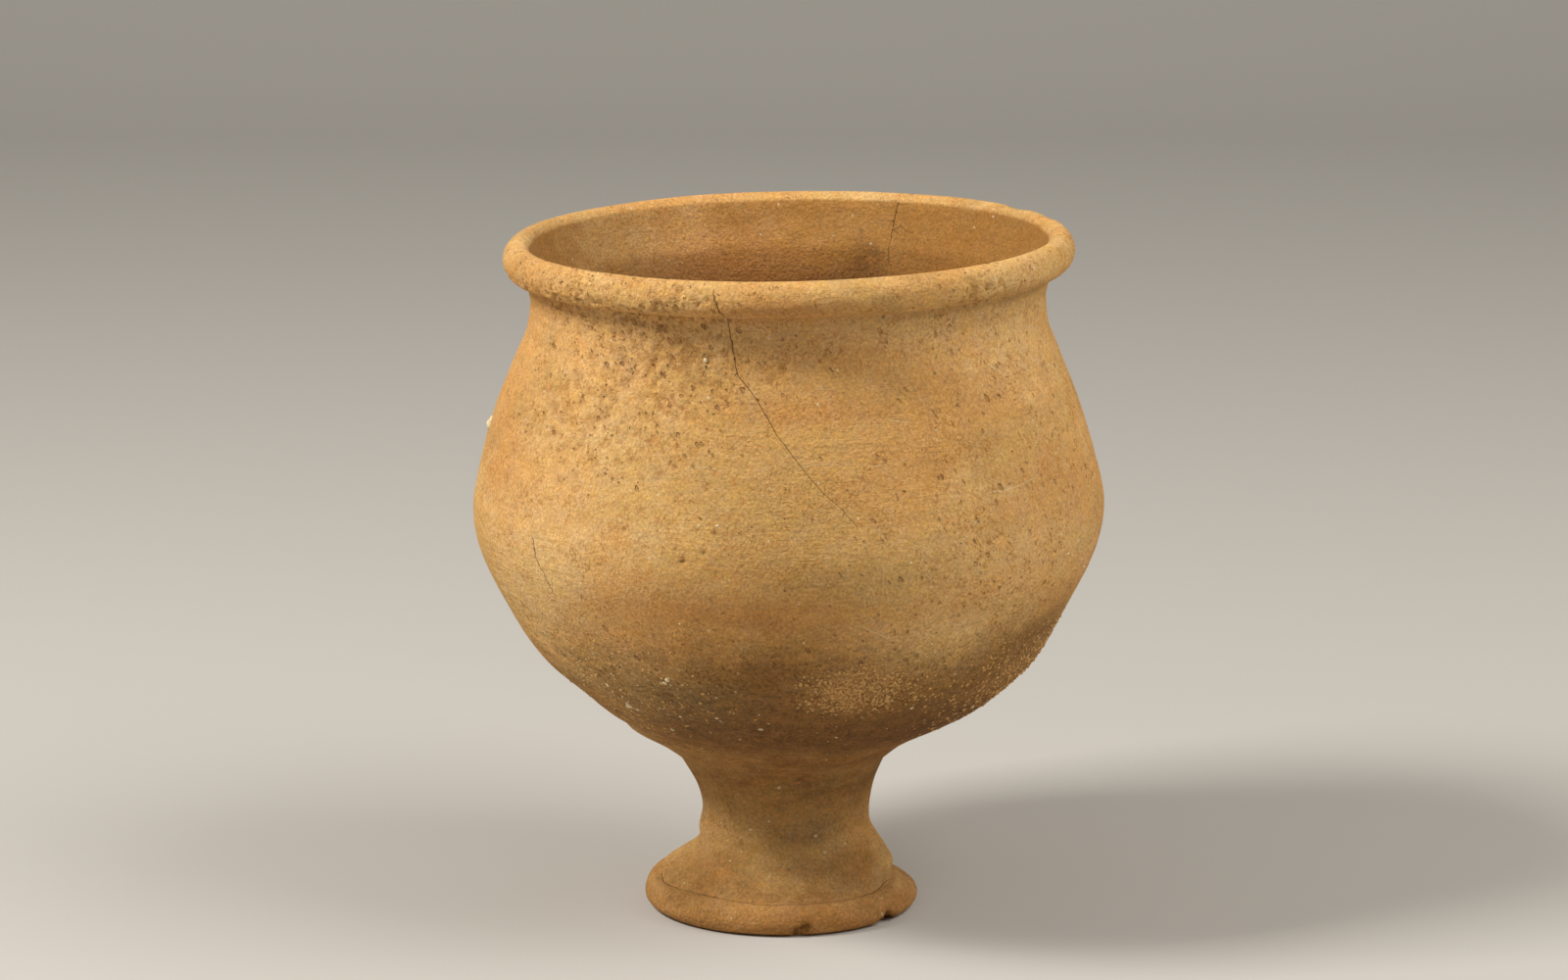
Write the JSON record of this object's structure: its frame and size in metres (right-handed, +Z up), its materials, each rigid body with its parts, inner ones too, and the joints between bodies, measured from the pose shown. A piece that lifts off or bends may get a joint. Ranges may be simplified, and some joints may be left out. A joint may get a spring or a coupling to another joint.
{
  "type": "terracotta goblet",
  "caption": "Wheel-thrown terracotta goblet with a full-bellied open bowl, a rolled rim and a short flared foot, worn and chipped.",
  "frame": {"origin": "on the ground under the centre of the bowl", "axes": "+Z up through the rim; -Y towards the side with the rim crack and the notch in the foot, +X to the right of it"},
  "size_m": [0.1334, 0.1334, 0.146],
  "materials": {
    "terracotta": "unglazed, matt, sandy fired clay with pits, ash-grey bloom and soot stains"
  },
  "bodies": {
    "root": {"goblet": "terracotta"}
  },
  "joints": []
}
